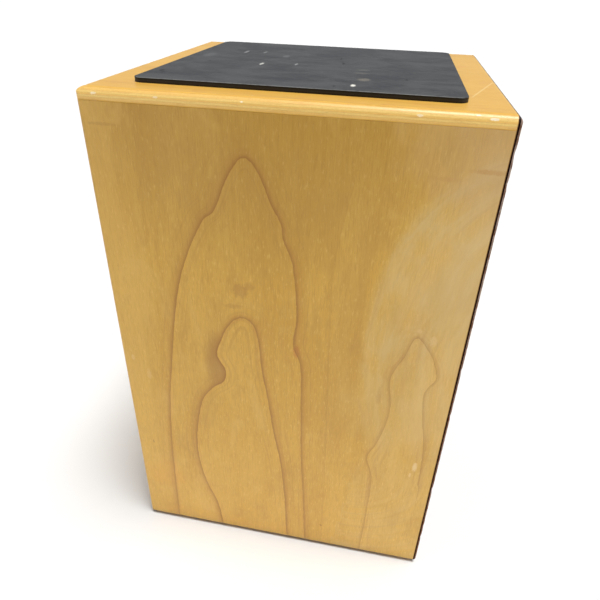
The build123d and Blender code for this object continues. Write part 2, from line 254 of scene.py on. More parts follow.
def linear(red, green, blue):
    """A paint colour given as it looks, from 0 to 255, as a shader wants it."""
    parts = []
    for level in (red, green, blue):
        share = level / 255
        parts.append(share / 12.92 if share <= 0.04045 else ((share + 0.055) / 1.055) ** 2.4)
    return (*parts, 1.0)


def wear_coat(obj, material):
    """The whole piece takes one finish."""
    obj.data.materials.clear()
    obj.data.materials.append(material)


VENEER_LIGHT = linear(217, 172, 78)
VENEER_DEEP = linear(204, 157, 64)
VENEER_FLECK = linear(226, 187, 100)
RING_BROWN = linear(150, 94, 38)
PLY_LONG = linear(236, 198, 124)
PLY_END = linear(222, 168, 88)
GLUE_LINE = linear(176, 122, 60)
# where each crossed ply begins, in millimetres from one face, and half a glue line
PLY_LAYERS = (0.6, 2.4, 3.9, 5.1, 6.6, 8.4)
GLUE_HALF = 0.16
# the growth rings of the plain panels, in metres
ARCH_HALF_WIDTH, ARCH_DROP, RING_SPACING = 0.20, 0.42, 0.14


def fibre_size(along, length, width):
    """Noise grain that is long on one axis and thin on the others."""
    return tuple(length if axis == along else width for axis in "xyz")


def veneer(tree, place, along, seed):
    """Bare veneer: slow tone changes, long fibres and short pale flecks. Returns colour and fibre."""
    broad = noise(tree, place, fibre_size(along, 190, 60), 3, 0.55, seed)
    streak = noise(tree, place, fibre_size(along, 90, 3.4), 4, 0.7, seed + 1)
    fibre = noise(tree, place, fibre_size(along, 13, 0.9), 3, 0.75, seed + 2, 0.3)
    fleck = noise(tree, place, fibre_size(along, 6, 1.2), 2, 0.6, seed + 3)
    tone = plus(tree, times(tree, broad, 0.6), times(tree, streak, 0.4))
    colour = paint(tree, fade(tree, tone, 0.34, 0.66), VENEER_DEEP, VENEER_LIGHT)
    colour = paint(tree, fade(tree, fibre, 0.44, 0.72, 0.0, 0.55), colour, linear(180, 132, 56))
    colour = paint(tree, fade(tree, fleck, 0.55, 0.72, 0.0, 0.62), colour, VENEER_FLECK)
    return colour, fibre


def ply_layers(tree, depth, place, along, face_colour, pale_ply=PLY_LONG, brown_ply=PLY_END, glue=0.35):
    """Face veneer on both faces and crossed plies between, by depth in millimetres from one face."""
    spread = noise(tree, place, fibre_size(along, 30, 0.6), 3, 0.65, 7.0)
    dulled = times(tree, fade(tree, spread, 0.40, 0.66), 0.35)
    pale = paint(tree, dulled, pale_ply, VENEER_DEEP)
    brown = paint(tree, dulled, brown_ply, VENEER_DEEP)
    wavy = noise(tree, place, (24, 24, 24), 2, 0.5, 9.0)
    depth = plus(tree, depth, calc(tree, "MULTIPLY_ADD", wavy, 0.5, -0.25))
    colour = face_colour
    for layer, start in enumerate(PLY_LAYERS):
        ply = brown if layer % 2 == 0 else pale
        if layer == len(PLY_LAYERS) - 1:
            ply = face_colour
        colour = paint(tree, fade(tree, depth, start - 0.12, start + 0.12), colour, ply)
    for start in PLY_LAYERS:
        near = calc(tree, "ABSOLUTE", minus(tree, depth, start))
        colour = paint(tree, fade(tree, near, GLUE_HALF, 0.04, 0.0, glue), colour, GLUE_LINE)
    return colour


def lacquer(tree, shader, colour, fibre, gloss=0.36):
    """A satin clear coat that keeps a little of the fibre's relief."""
    tree.links.new(colour, shader.inputs["Base Color"])
    rough = fade(tree, fibre, 0.2, 0.8, gloss - 0.05, gloss + 0.08)
    tree.links.new(rough, shader.inputs["Roughness"])
    shader.inputs["Specular IOR Level"].default_value = 0.35
    shader.inputs["Coat Weight"].default_value = 0.12
    shader.inputs["Coat Roughness"].default_value = 0.25
    relief(tree, shader, fibre, 0.2, 0.06)


def arch_figure(tree, place, side, up, middle, half_width, drop, spacing, seed):
    """Growth rings as nested arches: 0 just inside a ring line, rising to 1 outside it."""
    axes = split(tree, place)
    across, along = axes["xyz".index(side)], axes["xyz".index(up)]
    wander = noise(tree, place, fibre_size(up, 260, 90), 2, 0.5, seed)
    ripple = noise(tree, place, fibre_size(up, 90, 26), 2, 0.45, seed + 4)
    offset = minus(tree, across, middle)
    offset = plus(tree, offset, calc(tree, "MULTIPLY_ADD", wander, 0.09, -0.045))
    share = calc(tree, "DIVIDE", calc(tree, "ABSOLUTE", offset), half_width)
    share = calc(tree, "MINIMUM", times(tree, share, share), 0.985)
    fall = times(tree, calc(tree, "LOGARITHM", minus(tree, 1.0, share), math.e), -drop)
    sway = calc(tree, "MULTIPLY_ADD", ripple, 0.06, -0.03)
    height = plus(tree, plus(tree, along, fall), sway)
    rings = calc(tree, "DIVIDE", height, spacing)
    return calc(tree, "FRACT", rings)


def ring_shade(tree, phase, colour, strength):
    """A crisp brown line where a ring begins, fading out over the next part of the ring."""
    line = fade(tree, phase, 0.0, 0.015)
    tail = fade(tree, phase, 0.30, 0.0)
    tail = calc(tree, "POWER", tail, 3.0)
    amount = times(tree, times(tree, line, tail), strength, clamp=True)
    return paint(tree, amount, colour, RING_BROWN)


def panel_finish(name, thickness, outer_face, side, up, middle, seed, spacing=RING_SPACING,
                 tint_and_light=None, worn=None):
    """Lacquered plywood whose layers are counted from one outer face, with an arched face veneer."""
    material, tree, shader, place = new_finish(name)
    face, fibre = veneer(tree, place, up, seed)
    phase = arch_figure(tree, place, side, up, middle, ARCH_HALF_WIDTH, ARCH_DROP, spacing, seed + 9)
    uneven = noise(tree, place, (120, 120, 160), 2, 0.5, seed + 12)
    face = ring_shade(tree, phase, face, fade(tree, uneven, 0.36, 0.62, 0.12, 0.62))
    plies = (PLY_LONG, PLY_END, 0.35)
    # the seat's tint makes it paler and more orange: partly its own sheet, partly painted light
    if tint_and_light:
        amount, tint, *plies = tint_and_light
        face = paint(tree, amount, face, tint)
    axis = split(tree, place)["xyz".index(thickness)]
    depth = in_mm(tree, calc(tree, "ABSOLUTE", minus(tree, axis, outer_face)))
    colour = ply_layers(tree, depth, place, side, face, *plies)
    if worn:
        colour = worn(colour, tree, place)
    lacquer(tree, shader, colour, fibre)
    return material


right_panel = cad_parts["right_side_panel"]
wear_coat(right_panel, panel_finish("right_side_veneer", "x", box_high.x, "y", "z", 0.03, 21.0))


# ---- the left side panel ----
# The same plywood, but its veneer is laid out ring line by ring line: two nested arches towards
# the back, and a narrow swirl with straighter grain beside the tapa. Sizes are in millimetres,
# from the back edge and up from the bottom edge.

OUTER_ARCH = (
    (35, -5), (37, 95), (41, 170), (49, 232), (60, 300), (72, 342), (88, 376), (98, 386), (110, 414),
    (122, 429), (133, 418), (142, 396), (150, 380), (152, 367), (160, 345), (164, 300), (162, 268),
    (169, 245), (171, 190), (173, 130), (177, 70), (181, -5),
)
INNER_ARCH = (
    (88, -5), (83, 35), (72, 70), (66, 108), (67, 145), (75, 186), (86, 205), (98, 216), (100, 230),
    (93, 246), (97, 262), (105, 280), (116, 290), (127, 284), (132, 262), (134, 235), (139, 205),
    (145, 160), (152, 120), (157, 70), (161, -5),
)
SWIRL = (
    (242, -5), (244, 60), (244, 118), (237, 146), (243, 165), (248, 185), (251, 215), (247, 243),
    (250, 258), (256, 272), (262, 293), (272, 284), (279, 272), (284, 254), (277, 236), (280, 205),
    (286, 170), (288, 120),
)
FLOW_LINE = (
    (226, 120), (232, 170), (224, 225), (221, 280), (229, 330), (238, 372), (254, 408), (282, 438),
    (310, 452),
)
STRAIGHT_LINE = ((200, -5), (199, 60), (197, 150), (194, 250), (192, 340), (197, 385), (203, 420))
GRAIN_LINES = {
    "outer_arch": OUTER_ARCH, "inner_arch": INNER_ARCH, "swirl": SWIRL, "flow": FLOW_LINE,
    "straight": STRAIGHT_LINE,
}
PANEL_MESH_STEP = 4 * MM
# the lines that are drawn brown: how far they fade, how strongly they show, and their seed
RING_LINES = (
    ("outer_arch", 4.5, 0.86, 31.0), ("inner_arch", 5.0, 0.92, 33.0), ("swirl", 3.0, 0.50, 35.0),
    ("straight", 5.0, 0.20, 37.0),
)


def smooth_line(points, steps=14):
    """More points along a smooth curve through the given ones."""
    points = np.array(points, float)
    ends = np.vstack([2 * points[0] - points[1], points, 2 * points[-1] - points[-2]])
    out = []
    for before, start, end, after in zip(ends, ends[1:], ends[2:], ends[3:]):
        for step in range(steps):
            t = step / steps
            slope = end - before
            bend = 2 * before - 5 * start + 4 * end - after
            twist = 3 * start - before - 3 * end + after
            out.append(0.5 * (2 * start + slope * t + bend * t**2 + twist * t**3))
    return np.array(out + [points[-1]])


def distance_outside(places, line):
    """Distance of each place from the line, positive on the left of its direction."""
    curve = smooth_line(line)
    starts, runs = curve[:-1], np.diff(curve, axis=0)
    best = np.full(len(places), 1e9)
    side = np.zeros(len(places))
    for start, run in zip(starts, runs):
        to = places - start
        t = np.clip(to @ run / (run @ run), 0, 1)
        gap = np.linalg.norm(to - t[:, None] * run, axis=1)
        closer = gap < best
        best[closer] = gap[closer]
        side[closer] = np.sign(run[0] * to[closer, 1] - run[1] * to[closer, 0])
    return best * side


def sliced_copy(node, name, cuts):
    """A mesh copy of a CAD node with extra rows of points where each (axis, place) plane cuts it."""
    shape = bmesh.new()
    shape.from_mesh(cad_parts[node].data)
    bmesh.ops.remove_doubles(shape, verts=shape.verts, dist=1e-6)
    bmesh.ops.dissolve_limit(shape, angle_limit=0.001, verts=shape.verts, edges=shape.edges)
    for axis, place in cuts:
        point, normal = [0, 0, 0], [0, 0, 0]
        point[axis], normal[axis] = place, 1
        every = shape.verts[:] + shape.edges[:] + shape.faces[:]
        bmesh.ops.bisect_plane(shape, geom=every, dist=1e-7, plane_co=point, plane_no=normal)
    bmesh.ops.recalc_face_normals(shape, faces=shape.faces)
    for edge in shape.edges:
        edge.smooth = len(edge.link_faces) != 2 or edge.calc_face_angle(0) < math.radians(32)
    for face in shape.faces:
        face.smooth = True
    mesh = bpy.data.meshes.new(name)
    shape.to_mesh(mesh)
    shape.free()
    piece = bpy.data.objects.new(name, mesh)
    bpy.context.collection.objects.link(piece)
    return piece


def rows(low, high, step):
    """Evenly spaced places between two ends."""
    count = max(2, round((high - low) / step))
    return [low + (high - low) * k / count for k in range(1, count)]


left_cuts = [(1, y) for y in rows(left_panel_low.y, left_panel_high.y, PANEL_MESH_STEP)]
left_cuts += [(2, z) for z in rows(left_panel_low.z, left_panel_high.z, PANEL_MESH_STEP)]
left_panel = sliced_copy("left_side_panel", "left_side_veneered", left_cuts)
corners = np.array([v.co for v in left_panel.data.vertices])
from_back = (BODY_BACK - corners[:, 1]) / MM
height = (corners[:, 2] - BODY_BOTTOM) / MM
face_places = np.stack([from_back, height], axis=1)
for name, line in GRAIN_LINES.items():
    attribute = left_panel.data.attributes.new(name, "FLOAT", "POINT")
    attribute.data.foreach_set("value", distance_outside(face_places, line).astype(np.float32))


def distance_to(tree, name):
    """Millimetres from one of the grain lines, stored on the panel's mesh."""
    return add(tree, "ShaderNodeAttribute", attribute_name=name).outputs["Fac"]


def beside_line(tree, distance, height):
    """A place that runs along a grain line, so that noise on it follows the line."""
    sideways = calc(tree, "DIVIDE", distance, MM_IN_A_METRE)
    return add(tree, "ShaderNodeCombineXYZ", {0: sideways, 2: height}).outputs[0]


def ring_line(tree, place, name, colour, width, strength, seed):
    """One laid-out ring line: crisp on its inner side, fading over width millimetres outside."""
    distance = distance_to(tree, name)
    jitter = noise(tree, place, (3, 3, 9), 3, 0.6, seed)
    distance = plus(tree, distance, calc(tree, "MULTIPLY_ADD", jitter, 1.6, -0.8))
    swell = noise(tree, place, (60, 60, 110), 1, 0.5, seed + 1)
    reach = fade(tree, swell, 0.35, 0.65, width * 0.45, width * 1.6)
    crisp = fade(tree, distance, -0.25, 0.35)
    tail = calc(tree, "POWER", math.e, calc(tree, "DIVIDE", times(tree, distance, -1.0), reach))
    thin = calc(tree, "POWER", math.e, times(tree, distance, -0.65))
    both = plus(tree, times(tree, tail, 0.35), times(tree, thin, 0.65))
    amount = times(tree, times(tree, crisp, both), strength, clamp=True)
    return paint(tree, amount, colour, RING_BROWN)


def spot(tree, across, up, middle, size, seed=None, grain=6.0, place=None):
    """How much a place belongs to a soft oval mark: 1 in its middle, 0 outside it."""
    sideways = calc(tree, "DIVIDE", minus(tree, across, middle[0]), size[0])
    upwards = calc(tree, "DIVIDE", minus(tree, up, middle[1]), size[1])
    sideways = times(tree, sideways, sideways)
    upwards = times(tree, upwards, upwards)
    reach = plus(tree, sideways, upwards)
    if seed is not None:
        rough = noise(tree, place, (grain, grain, grain * 1.8), 3, 0.7, seed)
        reach = plus(tree, reach, calc(tree, "MULTIPLY_ADD", rough, 2.4, -1.2))
    return fade(tree, reach, 1.0, 0.1)


MARK_AND_LIGHT_SEED = 200.0
# Marks in the veneer and the wear on it: middle, half size, colour, strength and how ragged it is.
# The first two are painted light, making the back and tapa ends paler than the shaded middle;
# the third is a painted sheen at the top corner by the tapa.
VENEER_MARKS_AND_PAINTED_LIGHT = (
    ((0, 350), (40, 200), (228, 184, 100), 0.24, 60.0),
    ((300, 330), (60, 200), (226, 192, 132), 0.26, 60.0),
    ((282, 450), (70, 60), (196, 162, 118), 0.34, 60.0),
    ((285, 330), (22, 60), (206, 176, 112), 0.30, 20.0),
    ((250, 214), (60, 60), (206, 174, 104), 0.22, 26.0),
    ((25, 72), (24, 30), (222, 158, 60), 0.22, 16.0),
    ((90, 6), (120, 16), (218, 164, 68), 0.25, 20.0),
    ((205, 250), (20, 170), (176, 132, 66), 0.18, 24.0),
    ((116, 317), (8, 8), (166, 118, 58), 0.40, 2.6),
    ((124, 322), (6, 5), (170, 122, 60), 0.35, 2.4),
    ((110, 301), (9, 3), (172, 124, 60), 0.30, 3.0),
    ((165, 262), (3.4, 8), (188, 112, 50), 0.50, 2.0),
    ((198, 30), (2.0, 2.0), (158, 98, 44), 0.60, 1.4),
    ((282, 144), (2.6, 7), (244, 222, 176), 0.42, 1.1),
    ((279, 132), (1.6, 4), (240, 214, 164), 0.32, 1.0),
    ((10, 229), (2.0, 4), (232, 206, 146), 0.34, 1.1),
    ((24, 211), (3.0, 8), (230, 200, 138), 0.30, 1.2),
    ((276, 292), (4.0, 6), (232, 206, 150), 0.30, 1.1),
    ((264, 300), (2.4, 3), (234, 206, 148), 0.25, 1.0),
    ((17, 118), (0.8, 3.0), (130, 84, 40), 0.60, 1.0),
    ((16, 445), (14, 1.6), (158, 112, 52), 0.25, 2.0),
    ((291, 433), (15, 2.4), (190, 136, 66), 0.45, 3.0),
    ((262, 426), (14, 2.0), (196, 146, 80), 0.30, 3.0),
    ((240, 226), (3, 16), (178, 128, 62), 0.30, 4.0),
)


def left_panel_finish():
    """The laid-out veneer with its ring lines and marks, on the same plywood under the same lacquer."""
    material, tree, shader, place = new_finish("left_side_veneer")
    axes = split(tree, place)
    across = in_mm(tree, minus(tree, BODY_BACK, axes[1]))
    up = in_mm(tree, minus(tree, axes[2], BODY_BOTTOM))
    face, fibre = veneer(tree, place, "z", 3.0)

    # faint growth lines that run along the two arches
    for name, seed in (("outer_arch", 13.0), ("inner_arch", 17.0)):
        distance = distance_to(tree, name)
        growth = noise(tree, beside_line(tree, distance, axes[2]), (2.4, 50, 110), 3, 0.6, seed)
        near = fade(tree, calc(tree, "ABSOLUTE", distance), 26.0, 4.0)
        amount = times(tree, fade(tree, growth, 0.48, 0.68, 0.0, 0.34), near)
        face = paint(tree, amount, face, linear(178, 128, 62))

    # painted shade darkens the middle of the panel's upper end; slow random changes of tone follow
    painted_shade_top = spot(tree, across, up, (136, 488), (172, 168))
    face = paint(tree, times(tree, painted_shade_top, 0.30), face, linear(142, 102, 42))
    drift = noise(tree, place, (34, 34, 75), 3, 0.6, 23.0, 1.2)
    face = paint(tree, fade(tree, drift, 0.50, 0.70, 0.0, 0.30), face, linear(182, 138, 62))
    face = paint(tree, fade(tree, drift, 0.46, 0.28, 0.0, 0.35), face, linear(222, 180, 96))

    # pale figure beside the tapa that flows up and bends over to its edge
    flow = distance_to(tree, "flow")
    flow_place = beside_line(tree, flow, axes[2])
    bands = noise(tree, flow_place, (13, 50, 95), 4, 0.6, 25.0, 0.8)
    cloud = noise(tree, place, (34, 34, 60), 3, 0.6, 26.0, 1.4)
    beyond = fade(tree, flow, 26.0, -6.0)
    body = calc(tree, "MULTIPLY_ADD", bands, 0.75, times(tree, cloud, 0.5))
    body = fade(tree, times(tree, body, beyond), 0.42, 0.90)
    high_up = fade(tree, up, 120, 330, 0.30, 0.72)
    face = paint(tree, times(tree, body, high_up), face, linear(214, 188, 130))
    thin_bands = noise(tree, flow_place, (3.5, 50, 60), 3, 0.6, 27.0, 0.5)
    thin = times(tree, fade(tree, thin_bands, 0.52, 0.70, 0.0, 0.28), fade(tree, flow, 20.0, -4.0))
    face = paint(tree, thin, face, linear(190, 146, 84))

    # the soft ridges round the swirl
    swirl = distance_to(tree, "swirl")
    ridges = noise(tree, beside_line(tree, swirl, axes[2]), (3.2, 50, 70), 3, 0.6, 29.0)
    near_swirl = fade(tree, calc(tree, "ABSOLUTE", swirl), 16.0, 3.0)
    ridges = times(tree, fade(tree, ridges, 0.50, 0.66, 0.0, 0.42), near_swirl)
    face = paint(tree, ridges, face, linear(190, 138, 70))

    # the shaded wood just outside the inner arch, on the back side
    outside = fade(tree, distance_to(tree, "inner_arch"), -0.3, 0.6)
    shade = times(tree, spot(tree, across, up, (93, 236), (15, 42)), outside)
    face = paint(tree, times(tree, shade, 0.5), face, linear(156, 112, 54))

    # painted light at both ends and a painted sheen at the top corner, then the veneer's own marks and wear
    for index, (middle, size, colour, strength, grain) in enumerate(VENEER_MARKS_AND_PAINTED_LIGHT):
        amount = spot(tree, across, up, middle, size, MARK_AND_LIGHT_SEED + index, grain, place)
        face = paint(tree, times(tree, amount, strength), face, linear(*colour))
    for name, width, strength, seed in RING_LINES:
        face = ring_line(tree, place, name, face, width, strength, seed)
    depth = in_mm(tree, minus(tree, axes[0], box_low.x))
    colour = ply_layers(tree, depth, place, "z", face)
    lacquer(tree, shader, colour, fibre)
    return material


wear_coat(left_panel, left_panel_finish())
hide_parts("left_side_panel")
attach(left_panel, "box")


# ---- the top, bottom and back panels ----
# The top lies on the side panels with its plies showing along the sanded edge; the back is let in
# between the sides and has the round sound hole; the bottom carries the feet and two wrench holes.

# how far the seat's veneer takes its tint, the tint, its two ply colours, and how clear the glue is.
# They make the seat and its edge paler and more orange than the sides: partly a sheet of its own,
# partly painted light from above.
TOP_TINT_AND_LIGHT = (0.46, linear(246, 192, 86), linear(248, 212, 130), linear(243, 198, 112), 0.24)
top_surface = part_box("top_panel")[1][2]
TOP_WEAR_AND_GLINT_SEED = 300.0
SCRATCH_LEAN = (0.947, 0.320)
SCRATCH_PLACE, SCRATCH_MIDDLE, SCRATCH_HALF = 338.2, 206.0, 38.0
# rubbed spots and painted glints along the edge: millimetres from the back and from the right side, half
# size, and how white
TOP_WEAR_AND_GLINTS = (
    ((6, 284), (1.7, 0.9), 0.9), ((14, 289.6), (2.8, 0.35), 0.5), ((286, 289.2), (3.4, 0.5), 0.7),
    ((240, 289.5), (2.6, 0.4), 0.45), ((122, 289.2), (1.2, 0.4), 0.7), ((128, 283), (0.8, 0.6), 0.4),
    ((60, 289.6), (3.0, 0.3), 0.4), ((3, 240), (1.0, 6.0), 0.35), ((276, 288), (2.0, 0.5), 0.6),
)


def seat_wear_and_glints(face_colour, tree, place):
    """Brown figure and pores, rubbed spots and painted glints along the edge, and a pale scratch by the tapa.
    """
    axes = split(tree, place)
    across = in_mm(tree, minus(tree, BODY_BACK, axes[1]))
    near = in_mm(tree, minus(tree, box_high.x, axes[0]))
    figure = noise(tree, place, (30, 26, 1.6), 4, 0.65, 290.0, 1.0)
    face_colour = paint(tree, fade(tree, figure, 0.50, 0.70, 0.0, 0.42), face_colour, linear(218, 158, 80))
    pores = noise(tree, place, (1.6, 9, 1.2), 3, 0.7, 292.0)
    face_colour = paint(tree, fade(tree, pores, 0.54, 0.74, 0.0, 0.4), face_colour, linear(206, 144, 70))
    # white spots along the edge: partly rubbed wear, partly painted glints on the arris
    for index, (middle, size, strength) in enumerate(TOP_WEAR_AND_GLINTS):
        chip = spot(tree, across, near, middle, size, TOP_WEAR_AND_GLINT_SEED + index, 1.2, place)
        face_colour = paint(tree, times(tree, chip, strength), face_colour, linear(255, 250, 232))
    slant = plus(tree, times(tree, across, SCRATCH_LEAN[0]), times(tree, near, SCRATCH_LEAN[1]))
    off_scratch = calc(tree, "ABSOLUTE", minus(tree, slant, SCRATCH_PLACE))
    thin = fade(tree, off_scratch, 0.9, 0.2, 0.0, 0.4)
    off_middle = calc(tree, "ABSOLUTE", minus(tree, near, SCRATCH_MIDDLE))
    reach = fade(tree, off_middle, SCRATCH_HALF, SCRATCH_HALF - 10.0)
    return paint(tree, times(tree, thin, reach), face_colour, linear(255, 232, 170))


TOP_RING_SPACING = 0.2
top_veneer = panel_finish(
    "top_veneer", "z", top_surface, "x", "y", 0.02, 41.0, TOP_RING_SPACING, TOP_TINT_AND_LIGHT, seat_wear_and_glints
)
wear_coat(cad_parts["top_panel"], top_veneer)
back_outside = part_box("back_panel")[1][1]
back_veneer = panel_finish("back_veneer", "y", back_outside, "x", "z", -0.02, 51.0)
wear_coat(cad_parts["back_panel"], back_veneer)
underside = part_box("bottom_panel")[0][2]
bottom_veneer = panel_finish("bottom_veneer", "z", underside, "x", "y", 0.01, 61.0)
wear_coat(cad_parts["bottom_panel"], bottom_veneer)


# ---- the battens and the adjuster block ----
# Planed, unlacquered strips of softwood glued inside the corners, and a beech block behind the
# foot of the tapa. The wood is dry and open, with fine darker late-wood lines along each strip.

def bare_wood(name, along, pale, dark, seed):
    """Dry sawn wood with straight late-wood lines."""
    material, tree, shader, place = new_finish(name)
    lines = noise(tree, place, fibre_size(along, 220, 3.0), 2, 0.5, seed)
    fibre = noise(tree, place, fibre_size(along, 10, 0.5), 2, 0.6, seed + 1)
    colour = paint(tree, fade(tree, lines, 0.4, 0.62), pale, dark)
    colour = paint(tree, fade(tree, fibre, 0.4, 0.8, 0.0, 0.35), colour, dark)
    tree.links.new(colour, shader.inputs["Base Color"])
    shader.inputs["Roughness"].default_value = 0.8
    shader.inputs["Specular IOR Level"].default_value = 0.25
    relief(tree, shader, fibre, 0.5, 0.15)
    return material


SPRUCE_PALE, SPRUCE_DARK = linear(226, 192, 140), linear(192, 146, 92)
batten_wood = {axis: bare_wood("spruce_along_" + axis, axis, SPRUCE_PALE, SPRUCE_DARK, 71.0) for axis in "xz"}
BATTENS = {
    "x": ("front_batten_top", "front_batten_bottom_left", "front_batten_bottom_right", "back_batten_top",
          "back_batten_bottom"),
    "z": ("front_batten_left", "front_batten_right", "back_batten_left", "back_batten_right"),
}
for axis, names in BATTENS.items():
    for name in names:
        wear_coat(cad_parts[name], batten_wood[axis])
beech = bare_wood("planed_beech", "x", linear(212, 164, 118), linear(192, 140, 96), 77.0)
wear_coat(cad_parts["adjuster_block"], beech)


# ---- the tapa ----
# The playing plate: 3 mm plywood with a dark stained veneer, screwed round its edge with
# flat-headed screws. Its sanded edge shows a worn brown outer ply, a black middle ply and a bare
# inner face.

TAPA_DARK = linear(58, 44, 36)
TAPA_BROWN = linear(92, 68, 52)
TAPA_WORN = linear(170, 148, 136)


def tapa_finish():
    """Dark face veneer over plies that show at the edge, and a paler ply on the inside."""
    material, tree, shader, place = new_finish("tapa_veneer")
    fibre = noise(tree, place, (0.6, 0.6, 20), 3, 0.6, 81.0)
    streak = noise(tree, place, (3, 3, 120), 3, 0.6, 82.0)
    face = paint(tree, fade(tree, streak, 0.35, 0.65), TAPA_DARK, TAPA_BROWN)
    phase = arch_figure(tree, place, "x", "z", 0.0, 0.17, 0.32, 0.09, 83.0)
    face = paint(tree, fade(tree, phase, 0.4, 0.0, 0.0, 0.6), face, linear(34, 26, 22))
    face = paint(tree, fade(tree, fibre, 0.45, 0.8, 0.0, 0.5), face, linear(30, 22, 18))
    axes = split(tree, place)
    depth = in_mm(tree, minus(tree, axes[1], box_low.y))
    side_gap = minus(tree, box_high.x * MM_IN_A_METRE, calc(tree, "ABSOLUTE", in_mm(tree, axes[0])))
    blotch = noise(tree, place, (2.4, 2.4, 6), 4, 0.75, 85.0)
    grit = noise(tree, place, (0.8, 0.8, 1.6), 2, 0.6, 86.0)
    worn = paint(tree, fade(tree, blotch, 0.38, 0.60), linear(112, 74, 48), TAPA_WORN)
    worn = paint(tree, fade(tree, grit, 0.52, 0.68, 0.0, 0.6), worn, linear(70, 50, 38))
    # the outer ply's edge is painted darker and redder towards the bottom
    from_top = minus(tree, box_high.z, axes[2])
    worn = paint(tree, fade(tree, from_top, 0.05, 0.30, 0.0, 0.62), worn, linear(104, 56, 22))
    colour = paint(tree, fade(tree, depth, 0.06, 0.25), face, worn)
    wobble = plus(tree, depth, calc(tree, "MULTIPLY_ADD", blotch, 0.8, -0.4))
    colour = paint(tree, fade(tree, wobble, 1.25, 1.55), colour, linear(26, 12, 5))
    inside = paint(tree, fade(tree, streak, 0.35, 0.65), linear(156, 104, 54), linear(192, 140, 84))
    inside = paint(tree, fade(tree, fibre, 0.45, 0.8, 0.0, 0.5), inside, linear(132, 84, 42))
    colour = paint(tree, fade(tree, depth, 2.55, 2.75, 0.0, 0.85), colour, inside)
    # a pale line along the plate's front arris at its sides: partly rubbed wear, partly a painted highlight
    rubbed_arris_highlight = times(tree, fade(tree, side_gap, 1.1, 0.2), fade(tree, blotch, 0.42, 0.6, 0.15, 1.0))
    rubbed_arris_highlight = times(tree, rubbed_arris_highlight, fade(tree, depth, 0.6, 0.1))
    colour = paint(tree, rubbed_arris_highlight, colour, linear(176, 152, 124))
    tree.links.new(colour, shader.inputs["Base Color"])
    at_edge = fade(tree, side_gap, 0.9, 0.3)
    rough = calc(tree, "MAXIMUM", at_edge, fade(tree, fibre, 0.2, 0.8, 0.34, 0.5))
    tree.links.new(rough, shader.inputs["Roughness"])
    shader.inputs["Specular IOR Level"].default_value = 0.1
    relief(tree, shader, fibre, 0.3, 0.08)
    return material


# chips along the plate's side edges: height, half length and depth in millimetres
TAPA_CHIPS = (
    (445, 5.0, 1.1), (425, 3.5, 0.8), (265, 4.0, 0.8), (214, 3.0, 0.9), (115, 5.0, 1.0), (40, 3.5, 0.8),
)
EDGE_STEP, EDGE_BITE, CHIP_WIDTH, CHIP_DEPTH = 2.2, 0.16, 2.5, 2.4
tapa_low, tapa_high = (Vector(c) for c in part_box("tapa"))
tapa_cuts = [(2, z) for z in rows(tapa_low.z, tapa_high.z, EDGE_STEP * MM)]
tapa_cuts += [(1, tapa_low.y + depth * MM) for depth in (0.45, 0.95, 1.5, 2.2)]
for edge_x, inward in ((tapa_low.x, 1), (tapa_high.x, -1)):
    tapa_cuts += [(0, edge_x + inward * reach * MM) for reach in (0.7, 1.8, 3.2)]
tapa_plate = sliced_copy("tapa", "tapa_plate", tapa_cuts)
tapa_noise = np.random.default_rng(11)
tapa_rough = tapa_noise.uniform(0, 1, 400)
for vert in tapa_plate.data.vertices:
    from_front = (vert.co.y - tapa_low.y) / MM
    for edge_x, inward, own_chips in ((tapa_low.x, 1, TAPA_CHIPS), (tapa_high.x, -1, TAPA_CHIPS[::-2])):
        from_side = abs(vert.co.x - edge_x) / MM
        if from_side > CHIP_WIDTH or from_front > CHIP_DEPTH:
            continue
        up = (vert.co.z - tapa_low.z) / MM
        rough_here = tapa_rough[int(up / EDGE_STEP) % len(tapa_rough)]
        bite = EDGE_BITE * rough_here**2
        for middle, reach, depth in own_chips:
            chip = depth * max(0.0, 1 - ((up - middle) / reach) ** 2)
            bite = max(bite, chip * (0.7 + 0.3 * rough_here))
        near_corner = max(0.0, 1 - from_side / CHIP_WIDTH) * max(0.0, 1 - from_front / CHIP_DEPTH)
        vert.co.x += inward * bite * near_corner * MM
        vert.co.y += bite * near_corner * 0.8 * MM
wear_coat(tapa_plate, tapa_finish())
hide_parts("tapa")
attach(tapa_plate, "box")


# ---- the tapa screws ----
# Eighteen black flat-headed wood screws, driven flush round the tapa's edge with a cross driver.
# Each is turned to its own angle, as they end up when they are driven in by hand.

def steel(name, colour, metallic, rough, seed):
    """Machined or plated steel with faint blotches and scratches."""
    material, tree, shader, place = new_finish(name)
    blotch = noise(tree, place, (3, 3, 3), 3, 0.6, seed)
    scratch = noise(tree, place, (0.2, 4, 4), 2, 0.5, seed + 1)
    darker = tuple(0.6 * level for level in colour[:3]) + (1,)
    tone = paint(tree, fade(tree, blotch, 0.35, 0.7, 0.0, 0.45), colour, darker)
    tree.links.new(tone, shader.inputs["Base Color"])
    shader.inputs["Metallic"].default_value = metallic
    tree.links.new(fade(tree, blotch, 0.2, 0.8, rough - 0.06, rough + 0.12), shader.inputs["Roughness"])
    relief(tree, shader, scratch, 0.15, 0.03)
    return material


black_steel = steel("black_oxide_steel", linear(48, 47, 50), 0.7, 0.42, 91.0)
zinc_steel = steel("zinc_plated_steel", linear(196, 198, 200), 1.0, 0.34, 93.0)
brass = steel("machined_brass", linear(214, 176, 96), 1.0, 0.32, 95.0)


def circle(radius, height, count=40, ripple=0.0, ridges=0):
    """Corners of a level ring; ripple gives it knurled ridges."""
    corners = []
    for k in range(count):
        angle = 2 * math.pi * k / count
        reach = radius + ripple * math.cos(ridges * angle)
        corners.append((reach * math.cos(angle), reach * math.sin(angle), height))
    return corners


